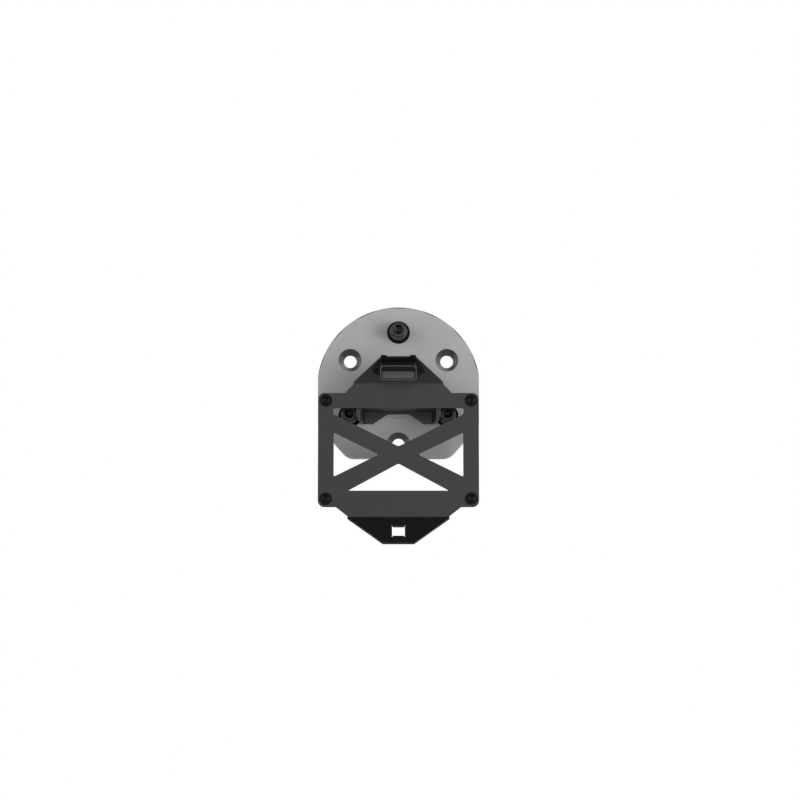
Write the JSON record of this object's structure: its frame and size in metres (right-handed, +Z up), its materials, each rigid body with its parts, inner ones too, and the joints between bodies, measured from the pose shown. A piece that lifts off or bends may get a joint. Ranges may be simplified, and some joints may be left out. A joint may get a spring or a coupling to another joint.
{
  "type": "spare tire carrier",
  "caption": "Spare wheel carrier bracket: thick lug plate with conical lug bolts, folded offset box and a bent face plate with X-shaped cut-outs and a small lamp.",
  "frame": {"origin": "centre of the hub pilot's end face, on the wheel's axis", "axes": "+Y along the wheel's axis towards the wheel, +Z up, +X to the right seen from the face plate's side"},
  "size_m": [0.2008, 0.137, 0.3006],
  "materials": {
    "lug_plate_paint": "satin light grey paint",
    "dark_powder_coat": "fine-textured dark powder coat",
    "black_oxide_steel": "black oxide, satin",
    "black_plastic": "moulded, fine grain",
    "lamp_lens": "smoked clear"
  },
  "bodies": {
    "carrier": {"corner_bolt_lower_left": "black_oxide_steel", "corner_bolt_lower_right": "black_oxide_steel", "corner_bolt_upper_left": "black_oxide_steel", "corner_bolt_upper_right": "black_oxide_steel", "corner_nut_lower_left": "black_oxide_steel", "corner_nut_lower_right": "black_oxide_steel", "corner_nut_upper_left": "black_oxide_steel", "corner_nut_upper_right": "black_oxide_steel", "corner_washer_lower_left": "black_oxide_steel", "corner_washer_lower_right": "black_oxide_steel", "corner_washer_upper_left": "black_oxide_steel", "corner_washer_upper_right": "black_oxide_steel", "face_plate": "dark_powder_coat", "hub_pilot": "lug_plate_paint", "lamp_base": "black_plastic", "lamp_housing": "black_plastic", "lamp_lens": "lamp_lens", "lamp_screw_left": "black_oxide_steel", "lamp_screw_right": "black_oxide_steel", "lower_shelf": "dark_powder_coat", "lug_plate": "lug_plate_paint", "offset_web": "dark_powder_coat", "side_wall_left": "dark_powder_coat", "side_wall_right": "dark_powder_coat", "upper_shelf": "dark_powder_coat", "web_bolt_lower_left": "black_oxide_steel", "web_bolt_lower_right": "black_oxide_steel", "web_bolt_upper_left": "black_oxide_steel", "web_bolt_upper_right": "black_oxide_steel"},
    "collar_top": {"cone_collar_top": "black_oxide_steel"},
    "bolt_top": {"lug_bolt_top": "black_oxide_steel"},
    "collar_lower_left": {"cone_collar_lower_left": "black_oxide_steel"},
    "bolt_lower_left": {"lug_bolt_lower_left": "black_oxide_steel"},
    "collar_lower_right": {"cone_collar_lower_right": "black_oxide_steel"},
    "bolt_lower_right": {"lug_bolt_lower_right": "black_oxide_steel"}
  },
  "joints": [
    {"name": "collar_slide_top", "type": "slide", "parent": "carrier", "child": "collar_top", "axis": [0, -1, 0], "range_m": [0, 0.012]},
    {"name": "bolt_spin_top", "type": "hinge", "parent": "collar_top", "child": "bolt_top", "pos_m": [0, -0.025, 0.06985], "axis": [0, -1, 0], "range_deg": [0, 2885]},
    {"name": "collar_slide_lower_left", "type": "slide", "parent": "carrier", "child": "collar_lower_left", "axis": [0, -1, 0], "range_m": [0, 0.012]},
    {"name": "bolt_spin_lower_left", "type": "hinge", "parent": "collar_lower_left", "child": "bolt_lower_left", "pos_m": [-0.06049, -0.025, -0.03492], "axis": [0, -1, 0], "range_deg": [0, 2885]},
    {"name": "collar_slide_lower_right", "type": "slide", "parent": "carrier", "child": "collar_lower_right", "axis": [0, -1, 0], "range_m": [0, 0.012]},
    {"name": "bolt_spin_lower_right", "type": "hinge", "parent": "collar_lower_right", "child": "bolt_lower_right", "pos_m": [0.06049, -0.025, -0.03492], "axis": [0, -1, 0], "range_deg": [0, 2885]}
  ],
  "couplings": [
    {"joint": "bolt_spin_top", "follows": "collar_slide_top", "rad_per_m": 4188.8},
    {"joint": "bolt_spin_lower_left", "follows": "collar_slide_lower_left", "rad_per_m": 4188.8},
    {"joint": "bolt_spin_lower_right", "follows": "collar_slide_lower_right", "rad_per_m": 4188.8}
  ]
}
